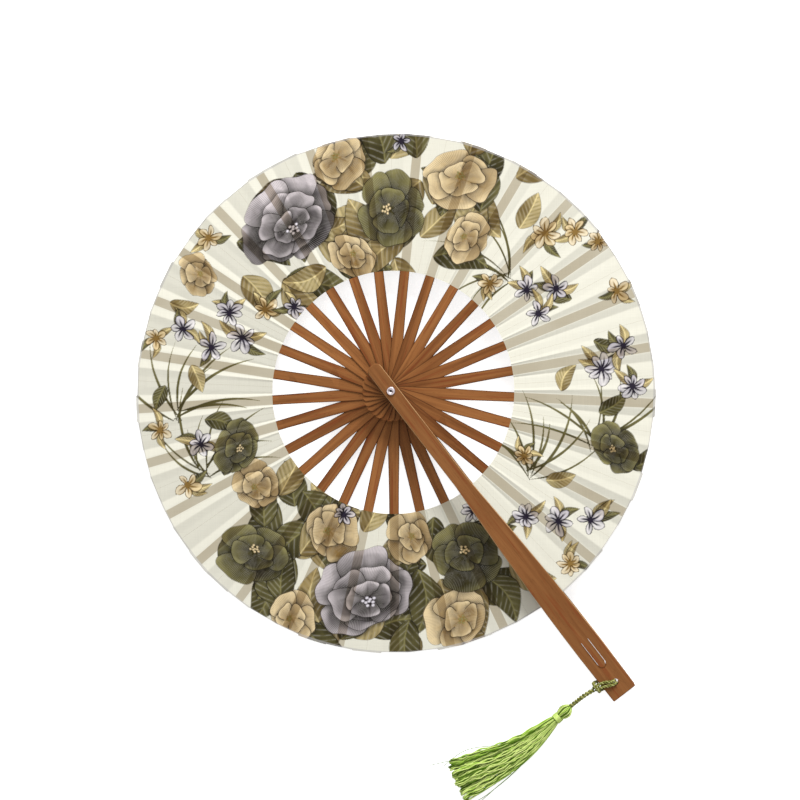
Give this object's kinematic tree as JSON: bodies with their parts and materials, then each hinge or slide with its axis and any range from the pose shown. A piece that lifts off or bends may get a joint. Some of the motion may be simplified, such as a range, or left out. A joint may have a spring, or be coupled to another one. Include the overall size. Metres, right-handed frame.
{
  "type": "folding fan",
  "caption": "Round folding fan: a pleated silk leaf on bamboo ribs that turn on a rivet, long guards that form its handle, and a cord tassel.",
  "frame": {"origin": "centre of the flat face of the rivet's back head, on the axis that all the blades turn about, in the plane that the open fan lies on", "axes": "+Z along the rivet's axis out of the fan's front; +Y is the picture's upward direction across the open disc; the long guards point to +X -Y, 52.4 degrees below +X"},
  "size_m": [0.38, 0.487, 0.0284],
  "materials": {
    "rib_bamboo": "smooth carbonised bamboo, brown, thin matt varnish",
    "guard_bamboo": "smooth carbonised bamboo, brown, satin varnish",
    "leaf_silk": "cream silk with a printed flower pattern",
    "rivet_steel": "bright nickel-plated steel",
    "tassel_thread": "lime green rayon thread with a soft sheen"
  },
  "bodies": {
    "front_guard": {"front_guard": "guard_bamboo", "rivet": "rivet_steel", "leaf": "leaf_silk", "tassel_loop": "tassel_thread"},
    "rib_01": {"rib_01": "rib_bamboo"},
    "rib_02": {"rib_02": "rib_bamboo"},
    "rib_03": {"rib_03": "rib_bamboo"},
    "rib_04": {"rib_04": "rib_bamboo"},
    "rib_05": {"rib_05": "rib_bamboo"},
    "rib_06": {"rib_06": "rib_bamboo"},
    "rib_07": {"rib_07": "rib_bamboo"},
    "rib_08": {"rib_08": "rib_bamboo"},
    "rib_09": {"rib_09": "rib_bamboo"},
    "rib_10": {"rib_10": "rib_bamboo"},
    "rib_11": {"rib_11": "rib_bamboo"},
    "rib_12": {"rib_12": "rib_bamboo"},
    "rib_13": {"rib_13": "rib_bamboo"},
    "rib_14": {"rib_14": "rib_bamboo"},
    "rib_15": {"rib_15": "rib_bamboo"},
    "rib_16": {"rib_16": "rib_bamboo"},
    "rib_17": {"rib_17": "rib_bamboo"},
    "rib_18": {"rib_18": "rib_bamboo"},
    "rib_19": {"rib_19": "rib_bamboo"},
    "rib_20": {"rib_20": "rib_bamboo"},
    "rib_21": {"rib_21": "rib_bamboo"},
    "rib_22": {"rib_22": "rib_bamboo"},
    "rib_23": {"rib_23": "rib_bamboo"},
    "rib_24": {"rib_24": "rib_bamboo"},
    "rib_25": {"rib_25": "rib_bamboo"},
    "rib_26": {"rib_26": "rib_bamboo"},
    "rib_27": {"rib_27": "rib_bamboo"},
    "rib_28": {"rib_28": "rib_bamboo"},
    "back_guard": {"back_guard": "guard_bamboo"},
    "tassel": {"tassel_cord": "tassel_thread", "tassel_head": "tassel_thread", "tassel_binding": "tassel_thread", "tassel_skirt": "tassel_thread"}
  },
  "joints": [
    {"name": "rib_01_turn", "type": "hinge", "parent": "front_guard", "child": "rib_01", "pos_m": [0, 0, 0.02385], "axis": [0, 0, 1], "range_deg": [-12.41, 0], "deforming": ["leaf"]},
    {"name": "rib_02_turn", "type": "hinge", "parent": "rib_01", "child": "rib_02", "pos_m": [0, 0, 0.0231], "axis": [0, 0, 1], "range_deg": [-12.41, 0]},
    {"name": "rib_03_turn", "type": "hinge", "parent": "rib_02", "child": "rib_03", "pos_m": [0, 0, 0.02235], "axis": [0, 0, 1], "range_deg": [-12.41, 0]},
    {"name": "rib_04_turn", "type": "hinge", "parent": "rib_03", "child": "rib_04", "pos_m": [0, 0, 0.0216], "axis": [0, 0, 1], "range_deg": [-12.41, 0]},
    {"name": "rib_05_turn", "type": "hinge", "parent": "rib_04", "child": "rib_05", "pos_m": [0, 0, 0.02085], "axis": [0, 0, 1], "range_deg": [-12.41, 0]},
    {"name": "rib_06_turn", "type": "hinge", "parent": "rib_05", "child": "rib_06", "pos_m": [0, 0, 0.0201], "axis": [0, 0, 1], "range_deg": [-12.41, 0]},
    {"name": "rib_07_turn", "type": "hinge", "parent": "rib_06", "child": "rib_07", "pos_m": [0, 0, 0.01935], "axis": [0, 0, 1], "range_deg": [-12.41, 0]},
    {"name": "rib_08_turn", "type": "hinge", "parent": "rib_07", "child": "rib_08", "pos_m": [0, 0, 0.0186], "axis": [0, 0, 1], "range_deg": [-12.41, 0]},
    {"name": "rib_09_turn", "type": "hinge", "parent": "rib_08", "child": "rib_09", "pos_m": [0, 0, 0.01785], "axis": [0, 0, 1], "range_deg": [-12.41, 0]},
    {"name": "rib_10_turn", "type": "hinge", "parent": "rib_09", "child": "rib_10", "pos_m": [0, 0, 0.0171], "axis": [0, 0, 1], "range_deg": [-12.41, 0]},
    {"name": "rib_11_turn", "type": "hinge", "parent": "rib_10", "child": "rib_11", "pos_m": [0, 0, 0.01635], "axis": [0, 0, 1], "range_deg": [-12.41, 0]},
    {"name": "rib_12_turn", "type": "hinge", "parent": "rib_11", "child": "rib_12", "pos_m": [0, 0, 0.0156], "axis": [0, 0, 1], "range_deg": [-12.41, 0]},
    {"name": "rib_13_turn", "type": "hinge", "parent": "rib_12", "child": "rib_13", "pos_m": [0, 0, 0.01485], "axis": [0, 0, 1], "range_deg": [-12.41, 0]},
    {"name": "rib_14_turn", "type": "hinge", "parent": "rib_13", "child": "rib_14", "pos_m": [0, 0, 0.0141], "axis": [0, 0, 1], "range_deg": [-12.41, 0]},
    {"name": "rib_15_turn", "type": "hinge", "parent": "rib_14", "child": "rib_15", "pos_m": [0, 0, 0.01335], "axis": [0, 0, 1], "range_deg": [-12.41, 0]},
    {"name": "rib_16_turn", "type": "hinge", "parent": "rib_15", "child": "rib_16", "pos_m": [0, 0, 0.0126], "axis": [0, 0, 1], "range_deg": [-12.41, 0]},
    {"name": "rib_17_turn", "type": "hinge", "parent": "rib_16", "child": "rib_17", "pos_m": [0, 0, 0.01185], "axis": [0, 0, 1], "range_deg": [-12.41, 0]},
    {"name": "rib_18_turn", "type": "hinge", "parent": "rib_17", "child": "rib_18", "pos_m": [0, 0, 0.0111], "axis": [0, 0, 1], "range_deg": [-12.41, 0]},
    {"name": "rib_19_turn", "type": "hinge", "parent": "rib_18", "child": "rib_19", "pos_m": [0, 0, 0.01035], "axis": [0, 0, 1], "range_deg": [-12.41, 0]},
    {"name": "rib_20_turn", "type": "hinge", "parent": "rib_19", "child": "rib_20", "pos_m": [0, 0, 0.0096], "axis": [0, 0, 1], "range_deg": [-12.41, 0]},
    {"name": "rib_21_turn", "type": "hinge", "parent": "rib_20", "child": "rib_21", "pos_m": [0, 0, 0.00885], "axis": [0, 0, 1], "range_deg": [-12.41, 0]},
    {"name": "rib_22_turn", "type": "hinge", "parent": "rib_21", "child": "rib_22", "pos_m": [0, 0, 0.0081], "axis": [0, 0, 1], "range_deg": [-12.41, 0]},
    {"name": "rib_23_turn", "type": "hinge", "parent": "rib_22", "child": "rib_23", "pos_m": [0, 0, 0.00735], "axis": [0, 0, 1], "range_deg": [-12.41, 0]},
    {"name": "rib_24_turn", "type": "hinge", "parent": "rib_23", "child": "rib_24", "pos_m": [0, 0, 0.0066], "axis": [0, 0, 1], "range_deg": [-12.41, 0]},
    {"name": "rib_25_turn", "type": "hinge", "parent": "rib_24", "child": "rib_25", "pos_m": [0, 0, 0.00585], "axis": [0, 0, 1], "range_deg": [-12.41, 0]},
    {"name": "rib_26_turn", "type": "hinge", "parent": "rib_25", "child": "rib_26", "pos_m": [0, 0, 0.0051], "axis": [0, 0, 1], "range_deg": [-12.41, 0]},
    {"name": "rib_27_turn", "type": "hinge", "parent": "rib_26", "child": "rib_27", "pos_m": [0, 0, 0.00435], "axis": [0, 0, 1], "range_deg": [-12.41, 0]},
    {"name": "rib_28_turn", "type": "hinge", "parent": "rib_27", "child": "rib_28", "pos_m": [0, 0, 0.0036], "axis": [0, 0, 1], "range_deg": [-12.41, 0]},
    {"name": "back_guard_turn", "type": "hinge", "parent": "rib_28", "child": "back_guard", "pos_m": [0, 0, 0.001], "axis": [0, 0, 1], "range_deg": [-12.41, 0]},
    {"name": "tassel_swing", "type": "hinge", "parent": "front_guard", "child": "tassel", "pos_m": [0.14429, -0.21359, 0.01892], "axis": [0, 0, 1], "range_deg": [-15, 30]}
  ],
  "couplings": [
    {"joint": "rib_02_turn", "follows": "rib_01_turn", "ratio": 1},
    {"joint": "rib_03_turn", "follows": "rib_01_turn", "ratio": 1},
    {"joint": "rib_04_turn", "follows": "rib_01_turn", "ratio": 1},
    {"joint": "rib_05_turn", "follows": "rib_01_turn", "ratio": 1},
    {"joint": "rib_06_turn", "follows": "rib_01_turn", "ratio": 1},
    {"joint": "rib_07_turn", "follows": "rib_01_turn", "ratio": 1},
    {"joint": "rib_08_turn", "follows": "rib_01_turn", "ratio": 1},
    {"joint": "rib_09_turn", "follows": "rib_01_turn", "ratio": 1},
    {"joint": "rib_10_turn", "follows": "rib_01_turn", "ratio": 1},
    {"joint": "rib_11_turn", "follows": "rib_01_turn", "ratio": 1},
    {"joint": "rib_12_turn", "follows": "rib_01_turn", "ratio": 1},
    {"joint": "rib_13_turn", "follows": "rib_01_turn", "ratio": 1},
    {"joint": "rib_14_turn", "follows": "rib_01_turn", "ratio": 1},
    {"joint": "rib_15_turn", "follows": "rib_01_turn", "ratio": 1},
    {"joint": "rib_16_turn", "follows": "rib_01_turn", "ratio": 1},
    {"joint": "rib_17_turn", "follows": "rib_01_turn", "ratio": 1},
    {"joint": "rib_18_turn", "follows": "rib_01_turn", "ratio": 1},
    {"joint": "rib_19_turn", "follows": "rib_01_turn", "ratio": 1},
    {"joint": "rib_20_turn", "follows": "rib_01_turn", "ratio": 1},
    {"joint": "rib_21_turn", "follows": "rib_01_turn", "ratio": 1},
    {"joint": "rib_22_turn", "follows": "rib_01_turn", "ratio": 1},
    {"joint": "rib_23_turn", "follows": "rib_01_turn", "ratio": 1},
    {"joint": "rib_24_turn", "follows": "rib_01_turn", "ratio": 1},
    {"joint": "rib_25_turn", "follows": "rib_01_turn", "ratio": 1},
    {"joint": "rib_26_turn", "follows": "rib_01_turn", "ratio": 1},
    {"joint": "rib_27_turn", "follows": "rib_01_turn", "ratio": 1},
    {"joint": "rib_28_turn", "follows": "rib_01_turn", "ratio": 1},
    {"joint": "back_guard_turn", "follows": "rib_01_turn", "ratio": 1}
  ]
}
